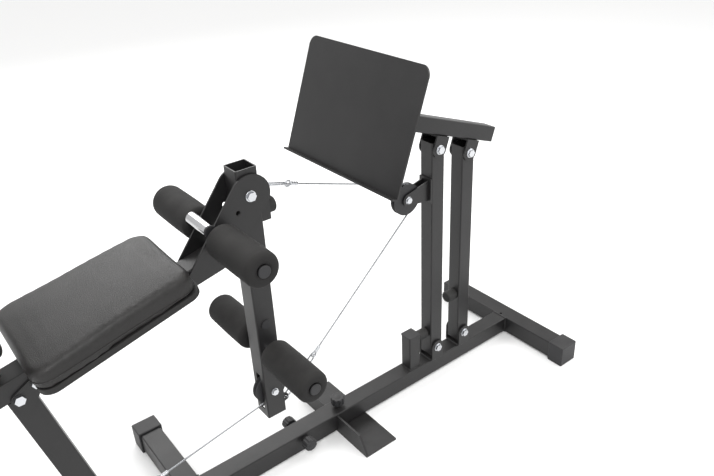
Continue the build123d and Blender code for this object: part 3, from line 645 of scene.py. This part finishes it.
# size names an outer and an inner radius
def washer(name, centre, axis, body, size="pivot"):
    s = washerSettings
    outer, inner = s[size]
    thick, c = s["thick"], s["chamfer"]
    ring = turned(name, [(inner, 0), (inner, thick), (outer - c, thick), (outer, thick - c), (outer, 0)],
                  centre, axis, s["steps"])
    return dress(ring, body, "zinc")


# each bolt node, with the body its washers ride and the piece they bear on
boltGroups = {"upper_pivot_bolts": ("top_bar", "top_bar_brackets"),
              "lower_pivot_bolts": ("frame", "upright_brackets")}


# low and high corners of each separate solid in a node, from its loose parts
def islands(node):
    bm = bmesh.new()
    bm.from_mesh(nodes[node].data)
    bmesh.ops.remove_doubles(bm, verts=bm.verts, dist=1e-5)
    seen, out = set(), []
    for v in bm.verts:
        if v in seen:
            continue
        group, todo = [], [v]
        seen.add(v)
        while todo:
            w = todo.pop()
            group.append(w.co.copy())
            for e in w.link_edges:
                o = e.other_vert(w)
                if o not in seen:
                    seen.add(o)
                    todo.append(o)
        low = Vector([min(p[i] for p in group) for i in range(3)])
        high = Vector([max(p[i] for p in group) for i in range(3)])
        out.append((low, high))
    bm.free()
    return out


for node, (body, seat) in boltGroups.items():
    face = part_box(seat)[1].y
    for i, (low, high) in enumerate(islands(node)):
        spot = (low + high) / 2
        for way in (-1, 1):
            washer(f"{node}Washer{i}{'n' if way < 0 else 'f'}", Vector((spot.x, way * face, spot.z)),
                   yAxis * way, body)
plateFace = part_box("side_plates")[1].y
for way in (-1, 1):
    tag = "n" if way < 0 else "f"
    pivot = jointPlace("lever_swing")
    washer("pivotWasher" + tag, Vector((pivot.x, way * plateFace, pivot.z)), yAxis * way, "frame")
    washer("leverAxleWasher" + tag, Vector((stackAxle.x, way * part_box("lever_tube")[1].y, stackAxle.z)),
           yAxis * way, "lever", "axle")
    washer("pulleyWasher" + tag, Vector((wheel.x, way * washerSettings["pulleyFace"], wheel.z)), yAxis * way,
           "rear_upright", "axle")

# rubber bumper's end: steel washer and a socket screw
screwSettings = dict(profile=[(0, 0.0016), (0.0024, 0.0016), (0.0026, 0.004), (0.0046, 0.004),
                              (0.0052, 0.0032), (0.0052, 0.0), (0, 0.0)], steps=30)
low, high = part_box("lever_bumper")
tip = Vector((high.x, 0, (low.z + high.z) / 2))
washer("bumperWasher", tip - Vector((washerSettings["bumperSink"], 0, 0)), (1, 0, 0), "lever", "bumper")
screw = turned("bumperScrew", screwSettings["profile"], tip, (1, 0, 0), screwSettings["steps"], closed=False)
dress(screw, "lever", "zinc")

# each knob's cap faces the way given here; a knob's node and body share one name
knobAxes = {"rail_top_knob": (0, 0, 1), "rail_side_knob_near": (0, -1, 0),
            "rail_side_knob_far": (0, 1, 0), "back_clamp_knob": (0, -1, 0)}
knobSettings = dict(profile=[(0, 0.0012), (0.006, 0.001), (0.0085, 0.0004), (0.0092, -0.0006), (0, -0.0006)],
                    steps=32)
for node, axis in knobAxes.items():
    low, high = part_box(node)
    axis = Vector(axis)
    top = (low + high) / 2
    for i in range(3):
        if axis[i]:
            top[i] = high[i] if axis[i] > 0 else low[i]
    cap = turned(node + "Cap", knobSettings["profile"], top, axis, knobSettings["steps"], closed=False)
    dress(cap, node, "black_plastic")
print("fasteners done")


weldSettings = dict(radius=0.0021, step=0.0035, ripple=0.22, wander=0.1, lift=0.0006, proud=0.0005,
                    leverRun=0.018, leverLift=0.002)


def bead(name, corners, body, closed=True):
    s = weldSettings
    ends = corners + [corners[0]] if closed else corners
    points = spaced(ends, s["step"])
    if closed:
        points = points[:-1]
    radii = [1 + s["ripple"] * math.sin(i * 2.3) + s["wander"] * math.sin(i * 0.71)
             for i in range(len(points))]
    dress(swept(name, points, s["radius"], closed=closed, radii=radii, sides=2), body, "weld",
          slotName="powder_coat")


def lowestRing(node):
    verts = [v.co for v in nodes[node].data.vertices]
    bottom = min(v.z for v in verts)
    ring = [v for v in verts if v.z < bottom + 0.001]
    xs, ys = [v.x for v in ring], [v.y for v in ring]
    return [Vector((x, y, bottom + weldSettings["lift"])) for x, y in
            ((min(xs), min(ys)), (max(xs), min(ys)), (max(xs), max(ys)), (min(xs), max(ys)))]


bead("postBead", lowestRing("seat_post"), "frame")
bead("stopPostBead", lowestRing("stop_post"), "frame")
railLow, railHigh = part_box("outer_rail")
footLow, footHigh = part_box("front_cross_foot")
armLow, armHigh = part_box("middle_foot_arms")
innerLow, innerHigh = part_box("inner_rail")
railHalf = 0.025
proud = weldSettings["proud"]


def squareAt(x, low, high, y):
    return [Vector((x, -y, low)), Vector((x, y, low)), Vector((x, y, high)), Vector((x, -y, high))]


bead("frontFootBead", squareAt(footLow.x - proud, innerLow.z, innerHigh.z, innerHigh.y), "frame")
bead("rearFootBead", squareAt(railLow.x + proud, railLow.z, footHigh.z, railHalf), "frame")
for way in (-1, 1):
    y = way * (railHalf + proud)
    bead(f"armBead{'n' if way < 0 else 'f'}",
         [Vector((armLow.x, y, armLow.z)), Vector((armHigh.x, y, armLow.z)),
          Vector((armHigh.x, y, armHigh.z)), Vector((armLow.x, y, armHigh.z))], "frame")
for i, (low, high) in enumerate(islands("upright_brackets")):
    bead(f"bracketBead{i}",
         [Vector((low.x, -innerHigh.y, low.z)), Vector((high.x, -innerHigh.y, low.z)),
          Vector((high.x, innerHigh.y, low.z)), Vector((low.x, innerHigh.y, low.z))], "frame")
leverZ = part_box("lever_bumper")[1].z + weldSettings["leverLift"]
bead("leverBracketBead", [Vector((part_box("lever_brackets")[0].x, way * weldSettings["leverRun"], leverZ))
                          for way in (-1, 1)], "lever", closed=False)
print("welds done")


stageSettings = dict(floor=(0.93, 0.93, 0.925, 1), floorRough=0.6, floorSize=12, world=0.95,
                     aim=(0.1, 0, 0.45),
                     lamps=(("key", (-1.6, -2.2, 3.2), 2.2, 95), ("fill", (2.6, -1.2, 2.2), 2.0, 40),
                            ("back", (0.6, 2.6, 2.6), 2.4, 60)))


# each lamp has a name, a place, a size and a power
def stage():
    s = stageSettings
    bm = bmesh.new()
    bmesh.ops.create_grid(bm, x_segments=2, y_segments=2, size=s["floorSize"])
    floor = finishMesh("floor", bm)
    mat = bpy.data.materials.new("floorPaint")
    mat.use_nodes = True
    shader = mat.node_tree.nodes["Principled BSDF"]
    shader.inputs["Base Color"].default_value = s["floor"]
    shader.inputs["Roughness"].default_value = s["floorRough"]
    floor.data.materials.append(mat)
    world = bpy.data.worlds.new("softRoom")
    bpy.context.scene.world = world
    world.use_nodes = True
    background = world.node_tree.nodes["Background"]
    background.inputs[0].default_value = (1, 1, 1, 1)
    background.inputs[1].default_value = s["world"]
    bpy.context.scene.view_settings.view_transform = "Standard"
    for name, place, size, power in s["lamps"]:
        lamp = bpy.data.lights.new(name, "AREA")
        lamp.size = size
        lamp.energy = power
        obj = link(bpy.data.objects.new(name, lamp))
        obj.location = place
        obj.rotation_euler = (Vector(s["aim"]) - Vector(place)).to_track_quat("-Z", "Y").to_euler()


stage()
cameraSettings = dict(place=(-0.5912, -1.1363, 1.2872), yaw=0.641004, pitch=0.504052, roll=-0.0515543,
                      lens=35.842)


def placeCamera(s):
    data = bpy.data.cameras.new("camera")
    data.lens = s["lens"]
    data.sensor_width = 36
    data.clip_end = 60
    cam = link(bpy.data.objects.new("camera", data))
    level = math.cos(s["pitch"])
    ahead = Vector((math.sin(s["yaw"]) * level, math.cos(s["yaw"]) * level, -math.sin(s["pitch"])))
    right = Vector((math.cos(s["yaw"]), -math.sin(s["yaw"]), 0))
    up = right.cross(ahead)
    r = right * math.cos(s["roll"]) + up * math.sin(s["roll"])
    u = up * math.cos(s["roll"]) - right * math.sin(s["roll"])
    turn = Matrix((r, u, -ahead)).transposed().to_4x4()
    cam.matrix_world = Matrix.Translation(s["place"]) @ turn
    bpy.context.scene.camera = cam


placeCamera(cameraSettings)
print("stage ready")
